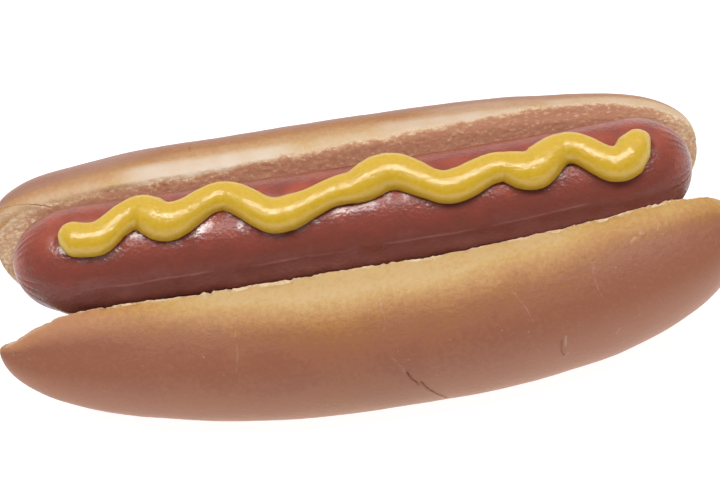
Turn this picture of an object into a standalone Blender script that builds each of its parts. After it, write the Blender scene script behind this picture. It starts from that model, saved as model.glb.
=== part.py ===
"""Hot dog: a frankfurter in a bun sliced open along one side, with a wavy bead of mustard.

Metres, +Z up. +X runs along the sausage and +Y from the front half of the bun to the back one.
The bun is one piece, hinged along its underside, and rests on a flat spot at Z = 0. The parts
are drawn about the middle of the sausage, and their empty then carries the middle of the
footprint to the origin.
"""
import math

import bmesh
import bpy
from mathutils import Vector

# ---------------------------------------------------------------- driving dimensions, in metres
GAP = 0.0003                    # between pieces that touch

SAUSAGE_LENGTH = 0.153
SAUSAGE_RADIUS = 0.0122
SAUSAGE_AXIS_Z = 0.0300
SAUSAGE_AXIS_Y = -0.0008        # at the middle of its length
SAUSAGE_BOWS = (0.0010, 0.0022)  # the left and right ends lie this much further back
SAUSAGE_TIPS = (0.0160, 0.0135)  # length of the domed left and right ends

MUSTARD_RADIUS = 0.0039
MUSTARD_LIFT = 0.0016           # the bead's centre above the sausage's skin
MUSTARD_TIP = 0.0040            # length of each rounded end of the bead
# Turns of the piped line: place along the sausage, and angle from the top of it towards the back
MUSTARD_TURNS = (
    (-0.0640, -18), (-0.0560, -21), (-0.0460, -3), (-0.0385, -14), (-0.0270, 2), (-0.0150, -22),
    (-0.0030, -8), (0.0095, 1), (0.0215, -22), (0.0310, -11), (0.0385, -20), (0.0460, -3),
    (0.0575, -27), (0.0660, -8),
)

BUN_BASE_OVERCUT = 0.0200       # depth of the block that planes the underside flat
HINGE_REACH = 0.0050            # how far each half runs past the middle, where they are one piece
HINGE_Z = 0.0150                # top of the hinge, under the sausage

# Each half's middle section, from the cut rim over the crust and round to the underside
FRONT_CRUST = (
    (-0.0168, 0.0350), (-0.0225, 0.0347), (-0.0292, 0.0317), (-0.0350, 0.0255),
    (-0.0380, 0.0168), (-0.0373, 0.0085), (-0.0325, 0.0018), (-0.0230, -0.0010),
)
BACK_CRUST = (
    (0.0150, 0.0360), (0.0197, 0.0362), (0.0243, 0.0342), (0.0283, 0.0300),
    (0.0312, 0.0235), (0.0322, 0.0160), (0.0305, 0.0085), (0.0255, 0.0020), (0.0170, -0.0010),
)
# Each half: its section; for its left and right end, the distance along X and the point (Y, Z)
# it closes on; and how blunt each end is in plan at the cut face and round the underside,
# where 2 is an ellipse
FRONT_HALF = {
    "crust": FRONT_CRUST, "reach": (0.0820, 0.0850), "tips": ((-0.0165, 0.0235), (-0.0105, 0.0240)),
    "face_bluntness": (1.65, 3.1), "under_bluntness": (1.9, 2.65),
}
BACK_HALF = {
    "crust": BACK_CRUST, "reach": (0.0815, 0.0800), "tips": ((0.0110, 0.0240), (0.0105, 0.0240)),
    "face_bluntness": (4.2, 2.9), "under_bluntness": (2.4, 2.3),
}
HINGE_UNDER_SHARE = 0.5         # the cut face ends at the hinge half way between the two

# ---------------------------------------------------------------- facets
SAUSAGE_RINGS = 40
SAUSAGE_SIDES_STEP = 10         # bevel resolution: 24 sides
CUTTER_SIDES_STEP = 14
MUSTARD_STEPS = 92
MUSTARD_SIDES_STEP = 4
BUN_RINGS = 40
CRUST_STEPS = 20
FACE_STEPS = 5


def clear_scene():
    for thing in list(bpy.data.objects):
        bpy.data.objects.remove(thing, do_unlink=True)


def new_collection(name):
    collection = bpy.data.collections.new(name)
    bpy.context.scene.collection.children.link(collection)
    return collection


def principled(name, colour, roughness):
    material = bpy.data.materials.new(name)
    material.use_nodes = True
    shader = material.node_tree.nodes["Principled BSDF"]
    shader.inputs["Base Color"].default_value = (*colour, 1.0)
    shader.inputs["Roughness"].default_value = roughness
    shader.inputs["Metallic"].default_value = 0.0
    return material


def curve_tube(name, path, bevel_resolution, collection):
    """A closed round tube through (x, y, z, radius) points, as a mesh with welded caps."""
    curve = bpy.data.curves.new(name, "CURVE")
    curve.dimensions = "3D"
    curve.bevel_depth = 1.0
    curve.bevel_resolution = bevel_resolution
    curve.twist_mode = "Z_UP"
    curve.use_fill_caps = True
    spline = curve.splines.new("POLY")
    spline.points.add(len(path) - 1)
    for point, (x, y, z, radius) in zip(spline.points, path):
        point.co = (x, y, z, 1.0)
        point.radius = radius
    tube = bpy.data.objects.new(name + "_curve", curve)
    collection.objects.link(tube)
    graph = bpy.context.evaluated_depsgraph_get()
    mesh = bpy.data.meshes.new_from_object(tube.evaluated_get(graph))
    mesh.name = name
    solid = bpy.data.objects.new(name, mesh)
    solid.matrix_world = tube.matrix_world
    collection.objects.link(solid)
    bpy.data.objects.remove(tube, do_unlink=True)
    bpy.data.curves.remove(curve)
    welded = bmesh.new()
    welded.from_mesh(mesh)
    bmesh.ops.remove_doubles(welded, verts=welded.verts, dist=1e-6)
    bmesh.ops.recalc_face_normals(welded, faces=welded.faces)
    welded.to_mesh(mesh)
    welded.free()
    return solid


def finish(thing, material):
    """Gives a piece its material and smooth shading."""
    thing.data.materials.clear()
    thing.data.materials.append(material)
    thing.data.shade_smooth()


def boolean(thing, other, operation):
    step = thing.modifiers.new(operation.lower() + "_" + other.name, "BOOLEAN")
    step.operation = operation
    step.solver = "EXACT"
    step.object = other


def hide_cutter(cutter):
    cutter.hide_render = True
    cutter.display_type = "WIRE"


# ---------------------------------------------------------------- sausage
def sausage_axis_y(x):
    """The sausage bows very slightly: its ends lie further back than its middle."""
    bow = SAUSAGE_BOWS[0] if x < 0 else SAUSAGE_BOWS[1]
    return SAUSAGE_AXIS_Y + bow * (2 * x / SAUSAGE_LENGTH) ** 2


def sausage_radius(x):
    """Even thickness with a domed end each side."""
    tip = SAUSAGE_TIPS[0] if x < 0 else SAUSAGE_TIPS[1]
    into_tip = max(0.0, abs(x) - (SAUSAGE_LENGTH / 2 - tip)) / tip
    return SAUSAGE_RADIUS * math.sqrt(max(0.0, 1 - into_tip ** 2))


def sausage_path(grow):
    """Rings along the sausage, close together at the ends, grown by a clearance."""
    smallest = 0.0008
    path = []
    for ring in range(SAUSAGE_RINGS + 1):
        turn = math.pi * ring / SAUSAGE_RINGS
        x = -math.cos(turn) * SAUSAGE_LENGTH / 2
        radius = max(smallest, sausage_radius(x))
        x *= 1 + 2 * grow / SAUSAGE_LENGTH
        path.append((x, sausage_axis_y(x), SAUSAGE_AXIS_Z, radius + grow))
    return path


def make_sausage(collection):
    sausage = curve_tube("sausage", sausage_path(0.0), SAUSAGE_SIDES_STEP, collection)
    finish(sausage, principled("smoked_sausage_skin", (0.21, 0.044, 0.035), 0.35))
    return sausage


def make_sausage_cutter(collection):
    cutter = curve_tube("sausage_cutter", sausage_path(GAP), CUTTER_SIDES_STEP, collection)
    hide_cutter(cutter)
    return cutter


# ---------------------------------------------------------------- mustard
def mustard_angle(x):
    """The piped line swings from turn to turn on a cosine, as a hand moves the nozzle."""
    for (x0, angle0), (x1, angle1) in zip(MUSTARD_TURNS, MUSTARD_TURNS[1:]):
        if x <= x1:
            blend = 0.5 - 0.5 * math.cos(math.pi * max(0.0, x - x0) / (x1 - x0))
            return math.radians(angle0 + (angle1 - angle0) * blend)
    return math.radians(MUSTARD_TURNS[-1][1])


def mustard_path():
    start = MUSTARD_TURNS[0][0]
    length = MUSTARD_TURNS[-1][0] - start
    reach = SAUSAGE_RADIUS + MUSTARD_LIFT
    path = []
    for step in range(MUSTARD_STEPS + 1):
        x = start + length * step / MUSTARD_STEPS
        angle = mustard_angle(x)
        from_end = min(x - start, start + length - x)
        blunt = 1 - min(1.0, from_end / MUSTARD_TIP)
        radius = MUSTARD_RADIUS * math.sqrt(max(0.05, 1 - blunt ** 2))
        y = sausage_axis_y(x) + reach * math.sin(angle)
        path.append((x, y, SAUSAGE_AXIS_Z + reach * math.cos(angle), radius))
    return path


def make_mustard(cutter, collection):
    mustard = curve_tube("mustard", mustard_path(), MUSTARD_SIDES_STEP, collection)
    boolean(mustard, cutter, "DIFFERENCE")
    finish(mustard, principled("yellow_mustard", (0.74, 0.49, 0.045), 0.3))
    return mustard


# ---------------------------------------------------------------- bun
def smooth_through(points, steps):
    """Points spaced along a smooth curve through the given ones."""
    padded = [points[0], *points, points[-1]]
    spans = len(points) - 1
    curve = []
    for step in range(steps + 1):
        along = spans * step / steps
        span = min(int(along), spans - 1)
        t = along - span
        a, b, c, d = padded[span:span + 4]
        curve.append(tuple(
            0.5 * (2 * q + (r - p) * t + (2 * p - 5 * q + 4 * r - s) * t ** 2
                   + (3 * q - p - 3 * r + s) * t ** 3)
            for p, q, r, s in zip(a, b, c, d)))
    return curve


def half_section(crust, side):
    """One half's closed section: crust, underside, hinge and the cut face back up to the rim.

    Each point comes with its share of the underside's bluntness, from 0 at the rim and the
    shoulder beside it to 1 well round the crust.
    """
    outside = smooth_through(crust, CRUST_STEPS)
    hinge_y = -side * HINGE_REACH
    rim = crust[0]
    section = []
    for step, point in enumerate(outside):
        past_shoulder = min(1.0, max(0.0, 2 * step / CRUST_STEPS - 0.5))
        section.append((*point, past_shoulder ** 2 * (3 - 2 * past_shoulder)))
    section.append((hinge_y, crust[-1][1], 1.0))
    for step in range(FACE_STEPS):
        up = step / FACE_STEPS
        section.append((hinge_y + (rim[0] - hinge_y) * up, HINGE_Z + (rim[1] - HINGE_Z) * up,
                        HINGE_UNDER_SHARE * (1 - up)))
    return section


def loft_half(name, half, side, collection):
    """Skins the section along X; every line of it closes on the half's pointed ends."""
    section = half_section(half["crust"], side)
    centre = [(left + right) / 2 for left, right in zip(*half["tips"])]
    middle = (half["reach"][1] - half["reach"][0]) / 2
    half_length = (half["reach"][1] + half["reach"][0]) / 2
    shape = bmesh.new()
    rings = []
    for ring in range(1, BUN_RINGS):
        t = -math.cos(math.pi * ring / BUN_RINGS)
        end = 0 if t < 0 else 1
        core = [c + (tip - c) * t ** 2 for c, tip in zip(centre, half["tips"][end])]
        corners = []
        for y, z, under in section:
            blunt = half["face_bluntness"][end] * (1 - under) + half["under_bluntness"][end] * under
            size = (1 - abs(t) ** blunt) ** (1 / blunt)
            corners.append(shape.verts.new((middle + t * half_length,
                                            core[0] + (y - centre[0]) * size,
                                            core[1] + (z - centre[1]) * size)))
        rings.append(corners)
    for near, far in zip(rings, rings[1:]):
        for i, corner in enumerate(near):
            j = (i + 1) % len(near)
            shape.faces.new((corner, near[j], far[j], far[i]))
    for end, corners in ((0, rings[0]), (1, rings[-1])):
        x = middle + (2 * end - 1) * half_length
        point = shape.verts.new((x, *half["tips"][end]))
        for i, corner in enumerate(corners):
            shape.faces.new((corner, corners[(i + 1) % len(corners)], point))
    bmesh.ops.recalc_face_normals(shape, faces=shape.faces)
    mesh = bpy.data.meshes.new(name)
    shape.to_mesh(mesh)
    shape.free()
    thing = bpy.data.objects.new(name, mesh)
    collection.objects.link(thing)
    return thing


def make_floor_cutter(collection):
    """The block below Z = 0, which leaves the bun's underside flat where it rests."""
    mesh = bpy.data.meshes.new("floor_cutter")
    block = bmesh.new()
    bmesh.ops.create_cube(block, size=1.0)
    size = (0.3, 0.2, BUN_BASE_OVERCUT)
    bmesh.ops.scale(block, vec=size, verts=block.verts)
    bmesh.ops.translate(block, vec=(0, 0, -BUN_BASE_OVERCUT / 2), verts=block.verts)
    block.to_mesh(mesh)
    block.free()
    cutter = bpy.data.objects.new("floor_cutter", mesh)
    collection.objects.link(cutter)
    hide_cutter(cutter)
    return cutter


def make_bun(sausage_cutter, collection, cutters):
    bun = loft_half("bun", FRONT_HALF, -1, collection)
    back = loft_half("bun_back_half", BACK_HALF, 1, cutters)
    hide_cutter(back)
    boolean(bun, back, "UNION")
    boolean(bun, sausage_cutter, "DIFFERENCE")
    boolean(bun, make_floor_cutter(cutters), "DIFFERENCE")
    finish(bun, principled("baked_bread", (0.42, 0.19, 0.08), 0.6))
    return bun


def centre_footprint(parts, cutters):
    """Hangs everything on one empty and moves that so the footprint's middle is the origin."""
    bpy.context.view_layer.update()
    graph = bpy.context.evaluated_depsgraph_get()
    corners = [Vector(corner) for part in parts for corner in part.evaluated_get(graph).bound_box]
    origin = bpy.data.objects.new("hot_dog_origin", None)
    bpy.context.scene.collection.objects.link(origin)
    for thing in [*parts, *cutters.objects]:
        thing.parent = origin
    for axis in (0, 1):
        places = [corner[axis] for corner in corners]
        origin.location[axis] = -(min(places) + max(places)) / 2


clear_scene()
hot_dog = new_collection("hot_dog")
cutter_shapes = new_collection("cutters")
sausage_hole = make_sausage_cutter(cutter_shapes)
bread = make_bun(sausage_hole, hot_dog, cutter_shapes)
frankfurter = make_sausage(hot_dog)
bead = make_mustard(sausage_hole, hot_dog)
centre_footprint((bread, frankfurter, bead), cutter_shapes)
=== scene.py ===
"""Looks of a hot dog: a smoked frankfurter in a split soft bun, with a bead of yellow mustard."""
import math

import bmesh
import bpy
import numpy as np
from mathutils import Matrix, Vector, noise


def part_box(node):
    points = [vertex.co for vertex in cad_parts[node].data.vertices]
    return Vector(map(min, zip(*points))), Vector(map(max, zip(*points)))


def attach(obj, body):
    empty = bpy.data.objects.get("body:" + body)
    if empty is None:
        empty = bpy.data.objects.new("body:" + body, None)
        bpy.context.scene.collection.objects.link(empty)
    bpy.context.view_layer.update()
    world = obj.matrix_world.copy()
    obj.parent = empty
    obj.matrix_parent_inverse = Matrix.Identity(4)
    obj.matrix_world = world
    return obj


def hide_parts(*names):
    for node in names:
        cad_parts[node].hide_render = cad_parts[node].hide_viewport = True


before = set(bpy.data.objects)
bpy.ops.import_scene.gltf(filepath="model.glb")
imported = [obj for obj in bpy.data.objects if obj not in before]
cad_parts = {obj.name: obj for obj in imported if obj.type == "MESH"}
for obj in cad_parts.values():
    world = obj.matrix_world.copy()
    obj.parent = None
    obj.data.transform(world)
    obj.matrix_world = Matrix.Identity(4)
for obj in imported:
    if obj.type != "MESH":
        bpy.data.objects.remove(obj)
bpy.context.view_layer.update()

# ======================================================================================== bun
# A long soft white bun, baked in a row and brushed with milk, so its sides are pale where the
# loaves touched and its domes are brown. It is sliced in from one side and opened like a book,
# and the two halves hold together along the underside.
MM = 0.001

# Everything is drawn in millimetres from the sausage's middle, at floor height
sausage_low, sausage_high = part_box("sausage")
SAUSAGE_RADIUS = (sausage_high.z - sausage_low.z) / 2 / MM
SAUSAGE_LENGTH = (sausage_high.x - sausage_low.x) / MM
SAUSAGE_AXIS_Z = (sausage_high.z + sausage_low.z) / 2 / MM
SAUSAGE_AXIS_Y = -0.8           # of its middle
SAUSAGE_BOWS = (1.0, 2.2)       # how much further back its left and right ends lie
SAUSAGE_TIPS = (16.0, 13.5)     # lengths of its domed ends
drawing_origin = Vector(((sausage_low.x + sausage_high.x) / 2,
                         sausage_low.y + (SAUSAGE_RADIUS - SAUSAGE_AXIS_Y) * MM, 0))


def sausage_axis_y(x):
    bow = np.where(x < 0, *SAUSAGE_BOWS)
    return SAUSAGE_AXIS_Y + bow * (2 * x / SAUSAGE_LENGTH) ** 2


def sausage_radius(x):
    tip = np.where(x < 0, *SAUSAGE_TIPS)
    into_tip = np.clip((np.abs(x) - SAUSAGE_LENGTH / 2 + tip) / tip, 0, 1)
    return SAUSAGE_RADIUS * np.sqrt(1 - into_tip ** 2)


# Each half's middle section (Y, Z), from the cut rim over the crust to the underside
FRONT_CRUST = ((-16.8, 35.0), (-22.5, 34.7), (-29.2, 31.7), (-35.0, 25.5), (-38.0, 16.8),
               (-37.3, 8.5), (-32.5, 1.8), (-23.0, -1.0))
BACK_CRUST = ((15.0, 36.0), (19.7, 36.2), (24.3, 34.2), (28.3, 30.0), (31.2, 23.5),
              (32.2, 16.0), (30.5, 8.5), (25.5, 2.0), (17.0, -1.0))
# What shapes and browns each half. A pair holds the left and the right end's value, "at X" means
# a list of (X, value), and a depth is a distance from the rim: over the crust, or below 0 down the
# cut face.
# side, reach, tips        which way it faces, how far its ends are from the middle, where they close
# face_, under_bluntness   how square its ends are at the face and underneath; 2 is an ellipse
# rounded, eased           at X, how fully the crust turns the corner; the same all along the rim
# face_slope               how steeply the cut face falls behind the rim; 0 leaves it as it is
# rim_moves, jagged        (X, Y move, Z move) of the rim; how jagged it is
# fine                     (from X, to X, low depth, high depth) where the mesh is cut finer
# torn, soaked_and_shaded_depths  at X, the depth of the tear; where the crumb starts and ends to
# darken, soaked and in painted shade
# pale_width, pale_taper   the pale strip beside the rim; how much narrower it is at the ends
# brown_from               depths between which the ends' browning sets in
# dome_, end_, corner_, inner_browning, rubbed_end, uneven
#                          how brown it is on top, at the ends, on the face, and at the ends by the
#                          rim; how reddish the left end's rim is; how patchy it all is
# pale_and_lit_bands       (from X, to X, low depth, high depth, paleness) of paler bands, partly the crust's own pale bake and partly painted light
HALVES = {
    "front": {"side": -1, "crust": FRONT_CRUST, "reach": (82.0, 85.0),
              "tips": ((-16.5, 23.5), (-10.5, 24.0)),
              "face_bluntness": (1.65, 3.1), "under_bluntness": (1.9, 2.65),
              "uneven": 1.0, "pale_width": 4.7, "pale_taper": 2.5, "dome_browning": 0.95,
              "end_browning": (0.85, 0.75), "rubbed_end": 0.45,
              "corner_browning": 0.3, "inner_browning": (0.5, 0.35), "soaked_and_shaded_depths": (3.0, 6.5),
              "rounded": ((-79, 1), (-70, 0.15), (-50, 0), (74, 0), (82, 0.5)),
              "brown_from": (1.0, 13.0), "fine": ((-74, 78, -1.4, 1.6),), "jagged": 1.0,
              "eased": 0.1, "face_slope": 1.45,
              "rim_moves": ((-82, 0, 0), (-78.5, 0, 0), (-73, 0.6, 2.0), (-67.7, 1.6, 2.4),
                            (-60, 1.5, 2.2), (-54, 1.2, 1.7), (-36, 0.3, 0.4), (-15, 0, 0), (20, 0, 0),
                            (45, 0.8, 1.0), (54, 1.3, 1.2), (62, 2.0, 1.5), (71, 2.6, 2.0),
                            (79, 2.2, 1.8), (85, 0, 0)),
              "pale_and_lit_bands": ((-90, -69, -1.0, 2.2, 0.4),),
              "torn": ((-81, -30.0), (-80.2, -15.0), (-79, -8.0), (-77.2, -4.0), (-74.5, -1.6),
                       (-70, 0.0), (-44, 0.1), (74, 0.1), (78, -1.6), (80.5, -5.0), (82, -30.0))},
    "back": {"side": 1, "crust": BACK_CRUST, "reach": (81.5, 80.0),
             "tips": ((11.0, 24.0), (10.5, 24.0)),
             "face_bluntness": (4.2, 2.9), "under_bluntness": (2.4, 2.3),
             "uneven": 0.5, "pale_width": 0.2, "pale_taper": 0.0, "dome_browning": 0.95,
             "end_browning": (0.95, -0.5), "rubbed_end": 0.0,
             "corner_browning": 0.1, "inner_browning": (0.3, 0.15), "soaked_and_shaded_depths": (-0.8, 2.0),
             "rounded": ((-76, 1), (-60, 0.1), (-50, 0), (90, 0)), "brown_from": (1.0, 8.0),
             "fine": ((-56, 80, -7.5, 3.4),), "jagged": 0.3, "eased": 0.4,
             "face_slope": 0.0, "rim_moves": ((-90, 0, 0), (90, 0, 0)),
             "pale_and_lit_bands": ((-50, -10, -3.0, 3.6, 0.9), (-8, 8, 0.0, 3.8, 0.5), (8, 46, -0.5, 5.4, 0.72),
                        (20, 50, 0.0, 9.0, 0.32), (44, 90, 0.0, 8.0, 0.55), (-90, -44, 0.0, 12.0, 0.15),
                        (-90, -52, -1.5, 2.4, 0.35), (-44, 90, 1.0, 6.0, 0.2)),
             "torn": ((-84, -3.0), (-74, -1.6), (-60, -1.6), (-45, -0.7), (-30, -0.7), (-15, 0.6),
                      (0, 1.1), (15, 1.8), (30, 2.8), (45, 4.8), (60, 5.0), (70, 4.4), (78, 2.6))},
}
HINGE_REACH = 5.0               # each half runs this far past the slit's bottom
HINGE_Z = 15.0
HINGE_UNDER_SHARE = 0.5         # its ends are this much like the underside's
CHANNEL_CLEARANCE = 0.15        # crumb to sausage skin
RING_STEP = 0.7                 # between rings, along the surface
VISIBLE_FACE = 13.0             # depth of the cut face that shows beside the sausage

# Splits in the crust as lines of (X, distance from the rim): half width, depth, height of its
# lips and how pale the bread is in it
SPLITS = {
    "front": (
        (((6.4, 26.3), (7.4, 28.2), (8.6, 30.0)), 0.15, 0.5, 0.12, 0.0),
        (((9.3, 29.8), (10.4, 32.4), (12.2, 34.9), (14.4, 38.6)), 0.15, 0.42, 0.12, 0.0),
        (((3.4, 21.0), (4.9, 23.4), (6.4, 26.3)), 0.16, 0.03, 0.03, 0.12),
        (((-28.3, 7.6), (-28.9, 11.5), (-29.2, 16.0), (-29.8, 20.8)), 0.14, 0.05, 0.03, 0.13),
        (((3.0, 6.4), (3.0, 10.0), (3.6, 13.0), (2.9, 15.6)), 0.14, 0.05, 0.03, 0.13),
        (((30.6, 9.8), (32.6, 13.6), (34.4, 17.0), (35.2, 19.2)), 0.14, 0.05, 0.03, 0.13),
        (((49.4, 9.4), (49.6, 13.4), (50.4, 16.6), (51.2, 18.8)), 0.14, 0.06, 0.03, 0.13),
        (((40.9, 26.0), (40.4, 28.4), (40.9, 30.6)), 0.15, 0.26, 0.12, 0.0),
        (((41.6, 25.0), (41.4, 28.0), (41.9, 30.4)), 0.22, 0.05, 0.08, 0.35),
        (((-80.6, 3.5), (-79.4, 7.5), (-77.4, 12.0), (-74.8, 15.5)), 0.2, 0.12, 0.08, 0.2),
        (((58.2, 7.6), (59.8, 6.9), (62.0, 6.4)), 0.22, 0.03, 0.06, 0.25),
        (((64.8, 6.6), (65.6, 5.4)), 0.2, 0.03, 0.06, 0.22),
        (((50.8, 29.0), (52.6, 28.6), (53.8, 27.2)), 0.18, 0.05, 0.04, 0.25),
    ),
    "back": (
        (((-81.0, 4.6), (-77.0, 2.4), (-73.0, 0.6), (-69.8, -1.0), (-67.2, -2.4)),
         0.22, 0.22, 0.03, 0.0),
        (((-80.5, 1.6), (-78.4, 0.4), (-76.6, -0.6)), 0.2, 0.15, 0.03, 0.0),
        (((-34.0, 4.4), (-34.4, 7.8)), 0.22, 0.2, 0.06, 0.0),
        (((12.0, 20.0), (13.2, 25.0), (12.6, 31.0)), 0.2, 0.12, 0.05, 0.2),
        (((-40.0, 16.0), (-41.4, 22.0)), 0.2, 0.12, 0.05, 0.2),
    ),
}
SPLIT_FINENESS = 3              # extra cuts of each edge beside a split
SPLIT_REACH = 0.95              # how far beside it

# Chips out of the rim: (X, distance from the rim, half length, half width, depth)
CHIPS = {
    "front": ((-18.8, 0.7, 3.4, 0.7, 0.5), (-26.2, 0.5, 1.5, 0.5, 0.35), (53.7, 0.5, 1.3, 0.6, 0.5),
              (43.1, 0.5, 1.1, 0.5, 0.4), (66.0, 0.5, 1.6, 0.5, 0.3), (-51.0, 0.4, 1.8, 0.5, 0.3),
              (12.0, 0.3, 1.2, 0.4, 0.25)),
    "back": ((-52.0, -1.6, 5.0, 1.0, 0.3), (26.0, 2.0, 2.5, 0.7, 0.35), (52.0, 2.2, 3.0, 0.8, 0.4)),
}


def smooth_through(points, count):
    """Catmull-Rom curve through the points."""
    padded = np.array([points[0], *points, points[-1]], float)
    spans = len(points) - 1
    along = np.linspace(0, spans, count)
    span = np.minimum(along.astype(int), spans - 1)
    t = (along - span)[:, None]
    a, b, c, d = (padded[span + i] for i in range(4))
    return 0.5 * (2 * b + (c - a) * t + (2 * a - 5 * b + 4 * c - d) * t ** 2
                  + (3 * b - a - 3 * c + d) * t ** 3)


def smoothstep(low, high, value):
    t = np.clip((value - low) / (high - low), 0, 1)
    return t * t * (3 - 2 * t)


def spaced(start, end, first, last):
    """Distances from start to end whose steps grow or shrink evenly from first to last."""
    count = max(2, round(2 * abs(end - start) / (first + last)))
    steps = np.linspace(first, last, count)
    return start + np.sign(end - start) * np.cumsum(steps)[:-1] / steps.sum() * abs(end - start)


CURVE_POINTS = 600
UNDER_STEPS = 9                 # columns between the crust's foot and the hinge


def half_section(half):
    """Columns Y, Z, share of the underside's bluntness, and distance from the rim in mm.

    The distance is positive over the crust and negative down the cut face.
    """
    curve = smooth_through(half["crust"], CURVE_POINTS)
    run = np.concatenate([[0], np.cumsum(np.linalg.norm(np.diff(curve, axis=0), axis=1))])
    crust_at = np.concatenate([[0], spaced(0, 6, 0.42, 0.6), spaced(6, 45, 0.6, 1.0), [45],
                               spaced(45, run[-1], 1.3, 2.4), [run[-1]]])
    share = smoothstep(0.25, 0.75, np.linspace(0, 1, CURVE_POINTS))
    crust = np.stack([np.interp(crust_at, run, column)
                      for column in (curve[:, 0], curve[:, 1], share)] + [crust_at], axis=1)
    hinge_y = -half["side"] * HINGE_REACH
    under_z = half["crust"][-1][1]
    across = np.linspace(crust[-1, 0], hinge_y, UNDER_STEPS + 1)[1:]
    under = np.stack([across, np.full(UNDER_STEPS, under_z), np.ones(UNDER_STEPS),
                      run[-1] + np.abs(across - crust[-1, 0])], axis=1)
    rim = np.array(half["crust"][0])
    hinge = np.array((hinge_y, HINGE_Z))
    depth = np.linalg.norm(rim - hinge)
    face_at = np.concatenate([spaced(depth, VISIBLE_FACE, 2.5, 0.6), [VISIBLE_FACE],
                              spaced(VISIBLE_FACE, 0, 0.5, 0.42)])
    up = 1 - face_at / depth
    face = hinge + (rim - hinge) * up[:, None]
    face = np.column_stack([face, HINGE_UNDER_SHARE * (1 - up), -face_at])
    return np.vstack([crust, under, face])


def ring_places(bluntness, half_length, thickness=18.0):
    """Places from 0 towards 1 along one end, evenly spaced over the surface and round the tip."""
    turn = np.linspace(0, math.pi / 2, 6000)
    along = np.sin(turn) ** (2 / bluntness)
    out = np.cos(turn) ** (2 / bluntness)
    run = np.hypot(np.diff(along) * half_length, np.diff(out) * thickness)
    run = np.concatenate([[0], np.cumsum(run)])
    return np.interp(np.arange(0, run[-1] - RING_STEP / 2, RING_STEP), run, along)


TIP_COLUMN = -8                 # the two tips lie this many columns down the face


def loft_half(half):
    """Skins the section along X; every line of it closes on the half's two tips.

    Gives the points in mm, their distance from the rim, and the faces.
    """
    section = half_section(half)
    left, right = np.array(half["tips"])
    centre = (left + right) / 2
    middle = (half["reach"][1] - half["reach"][0]) / 2
    half_length = sum(half["reach"]) / 2
    rights = ring_places(max(2, half["face_bluntness"][1]), half_length)
    lefts = ring_places(max(2, half["face_bluntness"][0]), half_length)
    t = np.concatenate([-lefts[:0:-1], rights])[:, None]
    core = centre + (np.where(t > 0, right, left) - centre) * t ** 2
    under = section[:, 2]
    blunt = (np.where(t > 0, *half["face_bluntness"][::-1]) * (1 - under)
             + np.where(t > 0, *half["under_bluntness"][::-1]) * under)
    size = (1 - np.abs(t) ** blunt) ** (1 / blunt)
    y = core[:, :1] + (section[:, 0] - centre[0]) * size
    z = core[:, 1:] + (section[:, 1] - centre[1]) * size
    x = np.broadcast_to(middle + t * half_length, y.shape)
    rings, sides = y.shape
    points = np.stack([x, y, z], axis=2).reshape(-1, 3)
    points = np.vstack([points, (middle - half_length, *left), (middle + half_length, *right)])
    tip_depth = section[TIP_COLUMN, 3]
    from_rim = np.append(np.tile(section[:, 3], rings), (tip_depth, tip_depth))
    # the rim leans in towards the sausage at the ends
    moves = np.array(half["rim_moves"])
    share = smoothstep(17, 2, from_rim) * smoothstep(-14, -3, from_rim)
    for axis in (1, 2):
        points[:, axis] += share * np.interp(points[:, 0], moves[:, 0], moves[:, axis])
    index = np.arange(rings * sides).reshape(rings, sides)
    after = np.roll(index, -1, axis=1)
    quads = np.stack([index[:-1], after[:-1], after[1:], index[1:]], axis=2).reshape(-1, 4)
    first, last = rings * sides, rings * sides + 1
    fans = [(after[0, k], index[0, k], first) for k in range(sides)]
    fans += [(index[-1, k], after[-1, k], last) for k in range(sides)]
    faces = quads.tolist() + fans
    if half["side"] > 0:
        faces = [face[::-1] for face in faces]
    return points, from_rim, faces


def new_mesh(name, points, faces, **attributes):
    """A mesh object from points in mm of the drawing; attributes hold one number a point."""
    mesh = bpy.data.meshes.new(name)
    mesh.from_pydata((np.array(points) * MM + np.array(drawing_origin)).tolist(), [], faces)
    for attribute, values in attributes.items():
        layer = mesh.attributes.new(attribute, "FLOAT", "POINT")
        layer.data.foreach_set("value", np.asarray(values, np.float32))
    piece = bpy.data.objects.new(name, mesh)
    bpy.context.scene.collection.objects.link(piece)
    return piece


def read_points(piece):
    """The piece's points, in mm of the drawing."""
    flat = np.empty(len(piece.data.vertices) * 3, np.float32)
    piece.data.vertices.foreach_get("co", flat)
    return (flat.reshape(-1, 3).astype(float) - np.array(drawing_origin)) / MM


def read_normals(piece):
    flat = np.empty(len(piece.data.vertices) * 3, np.float32)
    piece.data.vertex_normals.foreach_get("vector", flat)
    return flat.reshape(-1, 3).astype(float)


def read_attribute(piece, name):
    values = np.empty(len(piece.data.vertices), np.float32)
    piece.data.attributes[name].data.foreach_get("value", values)
    return values.astype(float)


def write_attribute(piece, name, values):
    layer = piece.data.attributes.get(name) or piece.data.attributes.new(name, "FLOAT", "POINT")
    layer.data.foreach_set("value", np.asarray(values, np.float32))


def write_points(piece, points):
    flat = (points * MM + np.array(drawing_origin)).astype(np.float32).ravel()
    piece.data.vertices.foreach_set("co", flat)
    piece.data.update()


def ripple(points, size, seed=0.0):
    """Smooth noise from -1 to 1 with lumps of about this size in mm."""
    scaled = (points / size + seed).tolist()
    return np.array([noise.noise(Vector(point)) for point in scaled])


def pores(points, size, seed=0.0):
    """1 in the middle of each round hole of an open crumb, falling to 0 at its rim."""
    scaled = (points / size + seed).tolist()
    nearest = np.array([noise.voronoi(Vector(point))[0][0] for point in scaled])
    return smoothstep(0.5, 0.12, nearest)


def from_line(places, line):
    """Distance in mm of each (X, distance from the rim) place to a line through points."""
    nearest = np.full(len(places), np.inf)
    for start, end in zip(np.array(line[:-1]), np.array(line[1:])):
        span = end - start
        part = np.clip((places - start) @ span / (span @ span), 0, 1)
        nearest = np.minimum(nearest, np.linalg.norm(places - start - part[:, None] * span, axis=1))
    return nearest


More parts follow.
